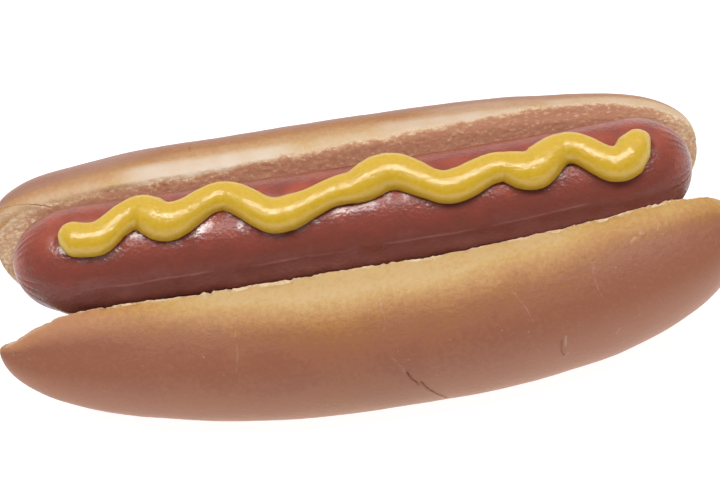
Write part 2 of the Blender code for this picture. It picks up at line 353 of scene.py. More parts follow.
def refine(piece, chosen, cuts):
    """Cuts the faces between the chosen points finer."""
    mesh = bmesh.new()
    mesh.from_mesh(piece.data)
    mesh.verts.ensure_lookup_table()
    edges = [edge for edge in mesh.edges if all(chosen[end.index] for end in edge.verts)]
    bmesh.ops.subdivide_edges(mesh, edges=edges, cuts=cuts, use_grid_fill=True)
    mesh.to_mesh(piece.data)
    mesh.free()


def cut_finer(piece, half, splits):
    """Cuts the mesh finer along the rim and beside the splits."""
    for from_x, to_x, low, high in half["fine"]:
        x, from_rim = read_points(piece)[:, 0], read_attribute(piece, "from_rim")
        refine(piece, (x > from_x) & (x < to_x) & (from_rim > low) & (from_rim < high), 1)
    places = np.column_stack([read_points(piece)[:, 0], read_attribute(piece, "from_rim")])
    beside = [from_line(places, line) < SPLIT_REACH for line, *_ in splits]
    refine(piece, np.any(beside, axis=0), SPLIT_FINENESS)


CORNER_ROUNDING = 150           # rounds of smoothing


def turn_corner(piece, half, x, from_rim):
    """Rounds the corner between crust and face, most where the cut stops short of the ends.

    Gives the new points, and how fully the crust turns the corner at each.
    """
    whole = np.interp(x, *np.array(half["rounded"]).T)
    round_off = np.round(np.maximum(whole * smoothstep(9, 5, np.abs(from_rim)),
                                    half["eased"] * smoothstep(2.5, 0.5, np.abs(from_rim))), 1)
    round_off = np.maximum(round_off, np.round(0.1 * smoothstep(72, 77, np.abs(x)), 2))
    corner = piece.vertex_groups.new(name="corner")
    for weight in np.unique(round_off[round_off > 0]):
        corner.add(np.flatnonzero(round_off == weight).tolist(), float(weight), "REPLACE")
    rounding = piece.modifiers.new("rounding", "SMOOTH")
    rounding.vertex_group = "corner"
    rounding.iterations = CORNER_ROUNDING
    points = read_points(piece.evaluated_get(bpy.context.evaluated_depsgraph_get()))
    piece.modifiers.clear()
    piece.vertex_groups.clear()
    write_points(piece, points)
    return points, whole


CRUMB_SUNK = 0.1                # the torn crumb lies this far below the crust
CHIP_OPENS = 0.55               # how much further a chip's tear reaches
JAG_REACH = 0.9                 # how far from the rim its jags run out


def carve(half, splits, chips, points, x, from_rim, whole):
    """Gives how far each point is pushed out, its distance from the tear, and its paleness."""
    # the dough rose unevenly
    push = -half["side"] * (0.45 * ripple(points, 24, 3.1) + 0.14 * ripple(points, 9, 7.7))

    # the crust tore along a ragged line, and is chipped beside it
    torn = from_rim - np.interp(x, *np.array(half["torn"]).T)
    near = np.flatnonzero((torn < 4) & (from_rim > -VISIBLE_FACE - 2))
    ragged = np.zeros(len(points))
    ragged[near] = 0.7 * ripple(points[near], 4.0, 5.0) + 0.5 * ripple(points[near], 1.3, 9.0)
    torn += ragged
    for chip_x, chip_at, length, width, depth in chips:
        chip = np.exp(-((x - chip_x) / length) ** 4 - ((from_rim - chip_at) / width) ** 2)
        torn -= CHIP_OPENS * chip
        push -= depth * chip
    crumb = smoothstep(0.3, -0.3, torn)
    push -= CRUMB_SUNK * crumb
    push += 0.035 * (1 - crumb) * ripple(points, 2.6, 1.3)
    at_rim = half["jagged"] * (1 - 0.6 * whole) * np.exp(-(from_rim / JAG_REACH) ** 2)
    crumbly = 0.4 + 1.5 * smoothstep(-0.1, 0.3, ripple(points * (1, 0, 0), 9, 21.0))
    push += at_rim * (0.22 * ripple(points * (1, 0.2, 0.2), 4.3, 2.0)
                      + 0.36 * crumbly * ripple(points * (1, 0.2, 0.2), 0.9, 4.0))

    # torn crumb: shreds drawn out along the bun, and small holes
    rough = points[near]
    shreds = np.zeros(len(points))
    shreds[near] = (0.07 * ripple(rough * (0.5, 1, 1), 1.7, 5.0)
                    + 0.12 * ripple(rough * (0.8, 1, 1), 0.75, 9.0)
                    - 0.12 * pores(rough, 1.7, 2.0) * smoothstep(-0.1, 0.4, ripple(rough, 5, 3)))
    push += shreds * crumb

    # splits, with raised lips and pale bread in them; their lines waver a little
    places = np.column_stack([x, from_rim])
    places += 0.28 * np.column_stack([ripple(points, 1.1, 20.0), ripple(points, 1.3, 30.0)])
    pale = np.zeros(len(points))
    for line, width, depth, lips, paleness in splits:
        away = from_line(places, line)
        push -= depth * np.exp(-(away / width) ** 2)
        push += lips * np.exp(-((away - 1.9 * width) / width) ** 2)
        pale = np.maximum(pale, paleness * np.exp(-(away / width / 1.1) ** 2)
                          * smoothstep(-0.4, 0.25, ripple(points, 1.2, 11.0)))
    return push, torn, pale


def clear_of_sausage(points, x, room):
    """Pushes the points out to at least this far from the sausage's axis."""
    y, z = points[:, 1] - sausage_axis_y(x), points[:, 2] - SAUSAGE_AXIS_Z
    away = np.maximum(np.hypot(y, z), 1e-6)
    grow = np.maximum(room, away) / away
    points[:, 1] += y * (grow - 1)
    points[:, 2] += z * (grow - 1)


SOLE_EASE = 0.35                # how softly the crust turns up from the table


def settle(half, points, x, from_rim):
    """Moves the points of the cut face, the underside and the sausage's channel into place."""
    # the cut face falls away steeply behind the rim
    at_edge = np.flatnonzero(np.abs(from_rim) < 0.05)
    at_edge = at_edge[np.argsort(x[at_edge])]
    rim_y, rim_z = (np.interp(x, x[at_edge], points[at_edge, axis]) for axis in (1, 2))
    fallen = rim_z - half["face_slope"] * np.abs(points[:, 1] - rim_y)
    drop = np.maximum(0, points[:, 2] - fallen) * smoothstep(-0.2, -0.8, from_rim)
    points[:, 2] -= drop * smoothstep(-82, -76, x) * smoothstep(84, 78, x) * (half["face_slope"] > 0)

    # the underside rests flat, easing up all round
    points[:, 2] = (points[:, 2] + np.sqrt(points[:, 2] ** 2 + SOLE_EASE)) / 2
    # the crumb gives way round the sausage
    beside = np.abs(x) < SAUSAGE_LENGTH / 2 + 1
    clear_of_sausage(points, x, np.where(beside, sausage_radius(x) + CHANNEL_CLEARANCE, 0))


def brown(piece, half, points, x, from_rim, torn, pale):
    """Writes where the half is browned, where its base is painted lighter, where its crumb darkens with
    juice and painted shade, and where it is pale.
    """
    # hardly browned where the loaves touched, beside the rim, most on the dome and all over the ends,
    # less towards the base, which is partly its own paler bake and partly painted light from below
    start = half["pale_width"] - half["pale_taper"] * smoothstep(12, 36, np.abs(x))
    browning = (0.34 * smoothstep(start, start + 5, from_rim)
                + 0.40 * smoothstep(start + 3, start + 10, from_rim)
                + 0.26 * smoothstep(start + 7, start + 16, from_rim))
    browning = np.where(from_rim < 0, half["corner_browning"], browning)
    browning *= half["dome_browning"] * (1 - 0.32 * smoothstep(24, 42, from_rim))
    browning *= 1 - 0.4 * smoothstep(48, 62, from_rim)
    end_browning = np.where(x < 0, *half["end_browning"])
    inner_browning = np.where(x < 0, *half["inner_browning"])
    outside = np.maximum(inner_browning, smoothstep(*half["brown_from"], from_rim))
    browning += end_browning * smoothstep(26, 72, np.abs(x)) * (1.1 - browning) * outside
    browning += half["uneven"] * (0.12 * ripple(points, 15, 4.0) + 0.06 * ripple(points, 5, 8.0)
                                  + 0.03 * ripple(points, 1.8, 6.0))
    # painted light: lighter and redder towards the base, standing in for light from the table below and
    # sheen at grazing angles; redder at one rubbed end
    lit_base_and_red_end = 0.8 * smoothstep(24, 46, from_rim + 0.08 * np.abs(x) + 0.07 * np.maximum(0, x))
    lit_base_and_red_end *= 1 - 0.4 * smoothstep(46, 60, from_rim)
    lit_base_and_red_end = np.maximum(lit_base_and_red_end, half["rubbed_end"] * smoothstep(-46, -66, x) * smoothstep(12, 6, from_rim))
    # the crumb darkens deep down the cut face and towards the middle: partly soaked by the sausage,
    # partly painted shade in the recess beside it
    shallow, deep = half["soaked_and_shaded_depths"]
    soaked_and_shaded = smoothstep(-shallow, -deep, torn) * (0.45 + 0.55 * smoothstep(77, 65, np.abs(x)))
    # paler bands: partly the crust's own pale bake, partly painted light where the lamp's light falls
    # off
    for start, end, low, high, paleness in half["pale_and_lit_bands"]:
        band = smoothstep(start - 7, start + 7, x) * smoothstep(end + 7, end - 7, x)
        band = band * smoothstep(low - 1, low + 1, from_rim)
        band = band * smoothstep(high + 1.4, high - 1.4, from_rim)
        pale = np.maximum(pale, paleness * band * (0.8 + 0.2 * ripple(points, 4, 15.0)))
    write_attribute(piece, "torn", np.clip(torn, -20, 20))
    write_attribute(piece, "browning", np.clip(browning, 0, 1))
    write_attribute(piece, "soaked_and_shaded", soaked_and_shaded)
    write_attribute(piece, "pale", pale)
    # painted light on the base, with the red of the rubbed end
    write_attribute(piece, "lit_base_and_red_end", lit_base_and_red_end)


def shape_half(name, half, splits, chips):
    points, from_rim, faces = loft_half(half)
    piece = new_mesh(name, points, faces, from_rim=from_rim)
    cut_finer(piece, half, splits)
    from_rim = read_attribute(piece, "from_rim")
    x = read_points(piece)[:, 0]
    points, whole = turn_corner(piece, half, x, from_rim)
    normals = read_normals(piece)
    push, torn, pale = carve(half, splits, chips, points, x, from_rim, whole)
    points += normals * push[:, None]
    settle(half, points, x, from_rim)
    write_points(piece, points)
    brown(piece, half, points, x, from_rim, torn, pale)
    return piece


bun = shape_half("bun", HALVES["front"], SPLITS["front"], CHIPS["front"])
back_half = shape_half("bun_back_half", HALVES["back"], SPLITS["back"], CHIPS["back"])
hinge = bun.modifiers.new("hinge", "BOOLEAN")
hinge.operation = "UNION"
hinge.solver = "MANIFOLD"
hinge.object = back_half
joined = bpy.data.meshes.new_from_object(bun.evaluated_get(bpy.context.evaluated_depsgraph_get()))
bun.modifiers.clear()
bun.data = joined
bpy.data.objects.remove(back_half)
bun.data.shade_smooth()


def linear(hexcode):
    """sRGB hex to the linear colour that shaders take."""
    parts = [int(hexcode[i:i + 2], 16) / 255 for i in (1, 3, 5)]
    return (*[c / 12.92 if c <= 0.04045 else ((c + 0.055) / 1.055) ** 2.4 for c in parts], 1.0)


def set_inputs(node, values):
    """Sets a node's sockets to numbers or colours, or links other nodes' outputs to them."""
    for socket, value in values.items():
        if isinstance(value, bpy.types.NodeSocket):
            node.id_data.links.new(value, node.inputs[socket])
        else:
            node.inputs[socket].default_value = value


def add_node(material, kind, inputs=None, **settings):
    node = material.node_tree.nodes.new(kind)
    for name, value in settings.items():
        setattr(node, name, value)
    set_inputs(node, inputs or {})
    return node


def fill_ramp(ramp, stops):
    """Sets a colour ramp's stops: (place, hex colour), ..."""
    elements = ramp.color_ramp.elements
    while len(elements) < len(stops):
        elements.new(0.5)
    for element, (place, hexcode) in zip(elements, stops):
        element.position = place
        element.color = linear(hexcode)


def new_material(name):
    """A material with nothing in it but its surface shader, and the two handed back."""
    material = bpy.data.materials.new(name)
    material.use_nodes = True
    return material, material.node_tree.nodes["Principled BSDF"]


# Milk-brushed white bread: a thin baked skin, satin, with fine dimples, blisters and flecks,
# cream where it is pale; the torn faces are open crumb, dull and shredded, brown deep down:
# partly soaked, partly painted shade in the recess by the sausage
FLECK = 1.1 * MM                # size of a fleck in the crust
GRAIN = 0.4 * MM                # drawn coarser than the skin's real grain, which is too fine
BLISTER_SPACING = 1.9 * MM
SHRED = 0.7 * MM                # width of a shred of crumb
BIT = 0.75 * MM                 # size of a light bit of crumb
SHARE, COLOUR_A, COLOUR_B, MIXED = 0, 6, 7, 2   # sockets of a node that mixes two colours
bread, bread_shader = new_material("milk_brushed_white_bread")
where = add_node(bread, "ShaderNodeTexCoord").outputs["Object"]
browned, torn_distance, soaked_and_shaded, pale, lit_base_and_red_end = (
    add_node(bread, "ShaderNodeAttribute", attribute_name=name).outputs["Fac"]
    for name in ("browning", "torn", "soaked_and_shaded", "pale", "lit_base_and_red_end"))
flecks = add_node(bread, "ShaderNodeTexNoise", {"Vector": where, "Scale": 1 / FLECK, "Detail": 5.0})
grain = add_node(bread, "ShaderNodeTexNoise", {"Vector": where, "Scale": 1 / GRAIN, "Detail": 3.0})
fleck_shift = add_node(bread, "ShaderNodeMath", {0: flecks.outputs["Fac"], 1: 0.42, 2: -0.21},
                       operation="MULTIPLY_ADD")
mottled = add_node(bread, "ShaderNodeMath", {0: browned, 1: fleck_shift.outputs[0]},
                   operation="ADD")
mottled = add_node(bread, "ShaderNodeMath", {0: grain.outputs["Fac"], 1: 0.3, 2: mottled.outputs[0]},
                   operation="MULTIPLY_ADD")
mottled = add_node(bread, "ShaderNodeMath", {0: mottled.outputs[0], 1: 0.15}, operation="SUBTRACT")
crust_colour = add_node(bread, "ShaderNodeValToRGB", {"Fac": mottled.outputs[0]})
fill_ramp(crust_colour, ((0.0, "#c6a470"), (0.16, "#c19858"), (0.34, "#b7864b"),
                         (0.55, "#a8713d"), (0.76, "#9b643f"), (0.9, "#9b6247"), (1.0, "#945b43")))
# lighter and redder towards the underside: painted light standing in for light from the table below and
# sheen at grazing angles; redder at one rubbed end
lit_base_and_red_end_mix = add_node(bread, "ShaderNodeMix", {SHARE: lit_base_and_red_end, COLOUR_A: crust_colour.outputs[0],
                                           COLOUR_B: linear("#bd8264")}, data_type="RGBA")

# blisters: one small pale dot in some of the cells, scattered over the crust
blister_cells = add_node(bread, "ShaderNodeTexVoronoi", {"Vector": where,
                                                         "Scale": 1 / BLISTER_SPACING})
blister_chance = add_node(bread, "ShaderNodeSeparateColor", {0: blister_cells.outputs["Color"]})
blister_size = add_node(bread, "ShaderNodeMapRange", {"Value": blister_chance.outputs[0],
                                                      "From Min": 0.6, "From Max": 1.0,
                                                      "To Min": 0.0, "To Max": 0.12})
blister = add_node(bread, "ShaderNodeMath", {0: blister_size.outputs[0],
                                             1: blister_cells.outputs["Distance"]},
                   operation="SUBTRACT")
blister_mask = add_node(bread, "ShaderNodeMapRange", {"Value": blister.outputs[0],
                                                      "From Min": -0.03, "From Max": 0.05})
lift = add_node(bread, "ShaderNodeMath", {0: blister_mask.outputs[0], 1: 0.2, 2: 0.0},
                operation="MULTIPLY_ADD")
lift_or_pale = add_node(bread, "ShaderNodeMath", {0: lift.outputs[0], 1: pale},
                        operation="MAXIMUM")
spotted = add_node(bread, "ShaderNodeMix", {SHARE: lift_or_pale.outputs[0],
                                            COLOUR_A: lit_base_and_red_end_mix.outputs[MIXED],
                                            COLOUR_B: linear("#d9cabb")}, data_type="RGBA")

# crumb: shreds drawn out along the bun, darker where it is soaked and in painted shade, with light bits
# on them
drawn_out = add_node(bread, "ShaderNodeMapping", {"Vector": where, "Scale": (0.6, 1.0, 1.0)})
shreds = add_node(bread, "ShaderNodeTexNoise", {"Vector": drawn_out.outputs[0],
                                                "Scale": 1 / SHRED, "Detail": 6.0,
                                                "Roughness": 0.75})
shred_shift = add_node(bread, "ShaderNodeMath", {0: shreds.outputs["Fac"], 1: 1.3, 2: -0.65},
                       operation="MULTIPLY_ADD")
crumb_place = add_node(bread, "ShaderNodeMath", {0: soaked_and_shaded, 1: shred_shift.outputs[0]},
                       operation="ADD")
bits = add_node(bread, "ShaderNodeTexNoise", {"Vector": drawn_out.outputs[0], "Scale": 1 / BIT,
                                              "Detail": 4.0, "Roughness": 0.65})
light_crumbs = add_node(bread, "ShaderNodeMapRange", {"Value": bits.outputs["Fac"],
                                                      "From Min": 0.5, "From Max": 0.7,
                                                      "To Min": 0.0, "To Max": -0.6})
crumb_place = add_node(bread, "ShaderNodeMath", {0: crumb_place.outputs[0],
                                                 1: light_crumbs.outputs[0]}, operation="ADD")
crumb_colour = add_node(bread, "ShaderNodeValToRGB", {"Fac": crumb_place.outputs[0]})
fill_ramp(crumb_colour, ((0.0, "#dcc6a6"), (0.32, "#cba887"), (0.6, "#b58768"), (1.0, "#a57158")))

# crust gives way to crumb along the tear, which is ragged by the grain
ragged = add_node(bread, "ShaderNodeMath", {0: grain.outputs["Fac"], 1: 2.0, 2: -1.0},
                  operation="MULTIPLY_ADD")
ragged_distance = add_node(bread, "ShaderNodeMath", {0: torn_distance, 1: ragged.outputs[0]},
                           operation="ADD")
cut = add_node(bread, "ShaderNodeMapRange", {"Value": ragged_distance.outputs[0],
                                             "From Min": 0.45, "From Max": -0.5})
surface = add_node(bread, "ShaderNodeMix", {SHARE: cut.outputs[0], COLOUR_A: spotted.outputs[MIXED],
                                            COLOUR_B: crumb_colour.outputs[0]}, data_type="RGBA")
roughness = add_node(bread, "ShaderNodeMapRange", {"Value": cut.outputs[0], "To Min": 0.5,
                                                   "To Max": 0.85})
relief = add_node(bread, "ShaderNodeMath", {0: grain.outputs["Fac"], 1: 0.5,
                                            2: flecks.outputs["Fac"]}, operation="MULTIPLY_ADD")
relief = add_node(bread, "ShaderNodeMath", {0: blister_mask.outputs[0], 1: 0.3,
                                            2: relief.outputs[0]}, operation="MULTIPLY_ADD")
dimples = add_node(bread, "ShaderNodeBump", {"Height": relief.outputs[0], "Strength": 0.6,
                                             "Distance": 0.26 * MM})
set_inputs(bread_shader, {
    "Base Color": surface.outputs[MIXED], "Roughness": roughness.outputs[0],
    "Normal": dimples.outputs[0], "IOR": 1.45, "Sheen Weight": 0.12, "Sheen Roughness": 0.4,
    "Subsurface Weight": 0.08, "Subsurface Radius": (1.0, 0.6, 0.35),
    "Subsurface Scale": 1.2 * MM})
bun.data.materials.clear()
bun.data.materials.append(bread)
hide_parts("bun")
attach(bun, "root")

# ==================================================================================== sausage
# A smoked frankfurter: finely ground meat in a thin skin, smoked red-brown and moist. The skin
# is gathered at both ends, where the links were cut apart.
SAUSAGE_SIDES = 150
SAUSAGE_STEP = 0.42
PLEATS = 25
PLEAT_DEPTH = 0.06              # share of the radius
# rings closer together towards the ends
turn = np.linspace(0, math.pi, round(1.15 * SAUSAGE_LENGTH / SAUSAGE_STEP))[1:-1]
ring_x = -SAUSAGE_LENGTH / 2 * (0.6 * np.cos(turn) + 0.4 * (1 - 2 * turn / math.pi))
# the casing's seam: a faint raised line low along the front, with finer sides about it
SEAM = ((-60, -69), (-30, -68), (30, -65), (56, -58))   # (X, degrees from the top to the back)
SEAM_HEIGHT = 0.05
SEAM_WIDTH = 0.28
SEAM_SIDES = 44
SEAM_SECTOR = (-78, -50)
side_turn = np.linspace(*np.radians(SEAM_SECTOR), SEAM_SIDES, endpoint=False)
side_turn = np.append(side_turn, np.linspace(*np.radians((SEAM_SECTOR[1], SEAM_SECTOR[0] + 360)),
                                             SAUSAGE_SIDES - SEAM_SIDES, endpoint=False))
skin_x = np.repeat(ring_x, SAUSAGE_SIDES)
skin_turn = np.tile(side_turn, len(ring_x))
to_tip = SAUSAGE_LENGTH / 2 - np.abs(skin_x)
wander = 1.2 * np.sin(skin_turn * 2 + np.sign(skin_x)) + 0.8 * np.sin(skin_turn * 5)
pleat = np.abs(np.sin(skin_turn * PLEATS / 2 + wander)) ** 0.7 - 0.7
gathered = smoothstep(9.0, 1.0, to_tip) * smoothstep(0.0, 2.0, to_tip)
skin_r = sausage_radius(skin_x) * (1 + PLEAT_DEPTH * gathered * pleat)
skin = np.stack([skin_x, sausage_axis_y(skin_x) + skin_r * np.sin(skin_turn),
                 SAUSAGE_AXIS_Z + skin_r * np.cos(skin_turn)], axis=1)
index = np.arange(len(skin)).reshape(-1, SAUSAGE_SIDES)
after = np.roll(index, -1, axis=1)
quads = np.stack([index[:-1], index[1:], after[1:], after[:-1]], axis=2).reshape(-1, 4).tolist()
tips = [(end * SAUSAGE_LENGTH / 2, float(sausage_axis_y(end * SAUSAGE_LENGTH / 2)),
         SAUSAGE_AXIS_Z) for end in (-1, 1)]
quads += [(index[0, k], after[0, k], len(skin)) for k in range(SAUSAGE_SIDES)]
quads += [(after[-1, k], index[-1, k], len(skin) + 1) for k in range(SAUSAGE_SIDES)]
sausage = new_mesh("sausage", np.vstack([skin, tips]), quads)
points = read_points(sausage)
swell = (0.18 * ripple(points, 16, 2.0) + 0.06 * ripple(points * (0.4, 1, 1), 4.5, 6.0)
         + 0.02 * ripple(points * (0.35, 1, 1), 1.4, 1.0))
seam_turn = np.radians(np.interp(points[:, 0], *np.array(SEAM).T))
turns = np.arctan2(points[:, 1] - sausage_axis_y(points[:, 0]), points[:, 2] - SAUSAGE_AXIS_Z)
off_seam = (turns - seam_turn) * SAUSAGE_RADIUS + 0.5 * ripple(points * (1, 0, 0), 9, 5.0)
shown = smoothstep(66, 50, np.abs(points[:, 0])) * smoothstep(-0.35, 0.2, ripple(points, 11, 12.0))
swell += SEAM_HEIGHT * shown * np.exp(-(off_seam / SEAM_WIDTH) ** 2)
write_points(sausage, points + read_normals(sausage) * swell[:, None])
sausage.data.shade_smooth()

# Smoked casing: wet, red-brown, mottled by the meat showing through; it gives broken glints
casing, casing_shader = new_material("smoked_frankfurter_casing")
where = add_node(casing, "ShaderNodeTexCoord").outputs["Object"]
MEAT = 5.0 * MM                 # size of a patch of meat showing through
WRINKLE = 0.8 * MM
meat = add_node(casing, "ShaderNodeTexNoise", {"Vector": where, "Scale": 1 / MEAT, "Detail": 4.0})
wrinkles = add_node(casing, "ShaderNodeTexNoise", {"Vector": where, "Scale": 1 / WRINKLE,
                                                   "Detail": 4.0})
shaded, painted_contact_shadow, juice = (
    add_node(casing, "ShaderNodeAttribute", attribute_name=name).outputs["Fac"]
    for name in ("underside", "painted_contact_shadow", "juice"))
meat_mottle = add_node(casing, "ShaderNodeMath", {0: meat.outputs["Fac"], 1: 0.5, 2: 0.5},
                       operation="MULTIPLY_ADD")
meat_tone = add_node(casing, "ShaderNodeMath", {0: shaded, 1: -0.5, 2: meat_mottle.outputs[0]},
                     operation="MULTIPLY_ADD")
# the low end of this ramp is painted shade and light: darkest down the front where the skin faces the
# bun, lighter and pinker towards the bottom and along the seam
meat_colour = add_node(casing, "ShaderNodeValToRGB", {"Fac": meat_tone.outputs[0]})
fill_ramp(meat_colour, ((0.0, "#a4695f"), (0.25, "#8a534f"), (0.5, "#7b4137"), (0.65, "#864338"),
                        (0.75, "#944838"), (0.85, "#a3503d")))
# a dark plum band right beside the bead is painted contact shadow
contact_shadowed = add_node(casing, "ShaderNodeMix", {SHARE: painted_contact_shadow, COLOUR_A: meat_colour.outputs[0],
                                             COLOUR_B: linear("#58292b")}, data_type="RGBA")
wet = add_node(casing, "ShaderNodeMapRange", {"Value": meat.outputs["Fac"], "From Min": 0.35,
                                              "From Max": 0.65, "To Min": 0.13, "To Max": 0.22})
puckers = add_node(casing, "ShaderNodeBump", {"Height": wrinkles.outputs["Fac"],
                                              "Strength": 1.0, "Distance": 0.2 * MM})
set_inputs(casing_shader, {
    "Base Color": contact_shadowed.outputs[MIXED], "Roughness": wet.outputs[0],
    "Normal": puckers.outputs[0], "Coat Normal": puckers.outputs[0], "Coat Weight": juice,
    "Coat Roughness": 0.04, "Coat IOR": 2.0, "IOR": 1.36, "Subsurface Weight": 0.08,
    "Subsurface Radius": (1.0, 0.25, 0.15), "Subsurface Scale": 1.5 * MM})
sausage.data.materials.append(casing)
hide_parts("sausage")
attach(sausage, "root")

# ==================================================================================== mustard
# Smooth yellow mustard squeezed from a bottle in one wavy line along the sausage, with a full
# rounded start and a thicker end where the nozzle lifted off.
MUSTARD_LIFT = 1.6              # the bead's centre above the skin
MUSTARD_TIPS = (3.8, 3.0)       # lengths of its rounded ends
# Half width of the bead along the sausage: thin where the bottle sped up, full in the turns
MUSTARD_WIDTHS = ((-64, 3.7), (-61, 3.85), (-55, 3.75), (-51, 3.3), (-48.5, 3.4), (-45, 4.3),
                  (-42.5, 4.6), (-39, 4.2), (-35, 3.5), (-31, 3.15), (-27, 3.25), (-22, 3.6),
                  (-17, 4.0), (-13, 3.9), (-9, 3.35), (-4, 3.15), (0, 3.45), (3.5, 4.2), (6, 4.45),
                  (10, 4.2), (14, 3.9), (18, 3.5), (23, 3.85), (27, 3.7), (31, 3.4), (34, 3.3),
                  (37, 4.0), (41, 4.7), (44, 4.3), (47.5, 3.6), (51, 3.4), (55, 3.6), (58, 3.9),
                  (61.5, 4.5), (64, 3.7), (66.6, 2.4))
MUSTARD_SIDES = 72
MUSTARD_STEP = 0.3
# Turns of the line: place along the sausage in mm, degrees from its top towards the back
MUSTARD_TURNS = ((-64.2, -14.0), (-56.5, -18.5), (-46.8, 1.5), (-39.5, -11.5), (-28.0, 8.0),
                 (-16.0, -20.5), (0.0, -4.5), (9.0, 6.5), (21.8, -19), (33.0, -8), (39.5, -16.5),
                 (48.2, -1), (58.5, -25), (67.5, -4.5))
MUSTARD_END = 66.6
MUSTARD_LEAN = 0.6              # the rings lean less than the line, so no turn folds over
MUSTARD_SEAT = 0.1              # mustard to sausage skin


def mustard_line(x):
    """Centre of the bead: it swings from turn to turn on a cosine."""
    places, angles = np.array(MUSTARD_TURNS).T
    span = np.clip(np.searchsorted(places, x) - 1, 0, len(places) - 2)
    part = (x - places[span]) / (places[span + 1] - places[span])
    blend = 0.5 - 0.5 * np.cos(math.pi * np.clip(part, 0, 1))
    angle = np.radians(angles[span] + (angles[span + 1] - angles[span]) * blend)
    reach = sausage_radius(x) + MUSTARD_LIFT
    return np.stack([x, sausage_axis_y(x) + reach * np.sin(angle),
                     SAUSAGE_AXIS_Z + reach * np.cos(angle)], axis=1)


fine_x = np.linspace(MUSTARD_TURNS[0][0], MUSTARD_END, 4000)
fine = mustard_line(fine_x)
run = np.concatenate([[0], np.cumsum(np.linalg.norm(np.diff(fine, axis=0), axis=1))])
stops = np.linspace(0, run[-1], round(run[-1] / MUSTARD_STEP))
line = np.stack([np.interp(stops, run, column) for column in fine.T], axis=1)
forward = np.gradient(line, axis=0)
forward[:, 1:] *= MUSTARD_LEAN
forward /= np.linalg.norm(forward, axis=1)[:, None]
outward = line - np.stack([line[:, 0], sausage_axis_y(line[:, 0]),
                           np.full(len(line), SAUSAGE_AXIS_Z)], axis=1)
outward -= forward * np.sum(outward * forward, axis=1)[:, None]
outward /= np.linalg.norm(outward, axis=1)[:, None]
sideways = np.cross(forward, outward)
blunt = np.maximum(1 - stops / MUSTARD_TIPS[0], 1 - (run[-1] - stops) / MUSTARD_TIPS[1])
bead_r = np.interp(line[:, 0], *np.array(MUSTARD_WIDTHS).T)
bead_r = bead_r * np.sqrt(np.maximum(0.0004, 1 - np.maximum(0, blunt) ** 2))
around = np.linspace(0, 2 * math.pi, MUSTARD_SIDES, endpoint=False)
spokes = np.cos(around)[None, :, None] * outward[:, None]
spokes = spokes + np.sin(around)[None, :, None] * sideways[:, None]
bead = (line[:, None] + bead_r[:, None, None] * spokes).reshape(-1, 3)
index = np.arange(len(bead)).reshape(-1, MUSTARD_SIDES)
after = np.roll(index, -1, axis=1)
quads = np.stack([index[:-1], after[:-1], after[1:], index[1:]], axis=2).reshape(-1, 4).tolist()
quads += [index[0, ::-1].tolist(), index[-1].tolist()]
mustard = new_mesh("mustard", bead, quads)
# it flowed unevenly, and lies on the skin
points = read_points(mustard)
dents = 0.16 * ripple(points, 5.5, 3.0) + 0.05 * ripple(points, 1.8, 8.0)
points -= read_normals(mustard) * dents[:, None]
clear_of_sausage(points, points[:, 0], sausage_radius(points[:, 0]) + MUSTARD_SEAT)
write_points(mustard, points)
mustard.data.shade_smooth()

# the skin is wet all round the bead, most at the left, and right beside it darkened by a painted
# contact shadow
BEAD_REACH = 12.0               # no skin further along than this is near a ring of the bead
BEAD_SKIP = 3                   # every third ring is near enough
skin = read_points(sausage)
skin_y, skin_z = skin[:, 1] - sausage_axis_y(skin[:, 0]), skin[:, 2] - SAUSAGE_AXIS_Z
skin_angle = np.degrees(np.arctan2(skin_y, skin_z))
gap = np.full(len(skin), 20.0)
for place in range(0, len(line), BEAD_SKIP):
    beside = np.flatnonzero(np.abs(skin[:, 0] - line[place, 0]) < BEAD_REACH)
    away = np.linalg.norm(skin[beside] - line[place], axis=1) - bead_r[place]
    gap[beside] = np.minimum(gap[beside], away)
write_attribute(sausage, "painted_contact_shadow", 0.5 * smoothstep(0.7, 0.05, gap))
juice_along = 0.25 + 0.75 * smoothstep(30, -20, skin[:, 0])
write_attribute(sausage, "juice", juice_along * smoothstep(2.7, 1.3, gap)
                * smoothstep(-0.2, 0.25, ripple(skin, 3, 6.0)))
# down its front the skin is painted darker, a painted shade where it faces the bun, and towards the
# bottom painted lighter and pinker, a painted light from below; the seam's light pink line is a painted
# reflection of the bun's rim
PAINTED_SEAM_LINE_WIDTH = 0.3
painted_seam_reflection = shown * np.exp(-(off_seam / PAINTED_SEAM_LINE_WIDTH) ** 2)
painted_front_shading = 0.5 * smoothstep(-15, -60, skin_angle) + 0.5 * smoothstep(-62, -84, skin_angle)
painted_front_shading *= smoothstep(-176, -110, skin_angle)
painted_front_shading *= smoothstep(0, 9, SAUSAGE_LENGTH / 2 - np.abs(skin[:, 0]))
# painted shade and light down the front, and the seam's painted reflection
write_attribute(sausage, "underside", painted_front_shading + 0.6 * painted_seam_reflection)

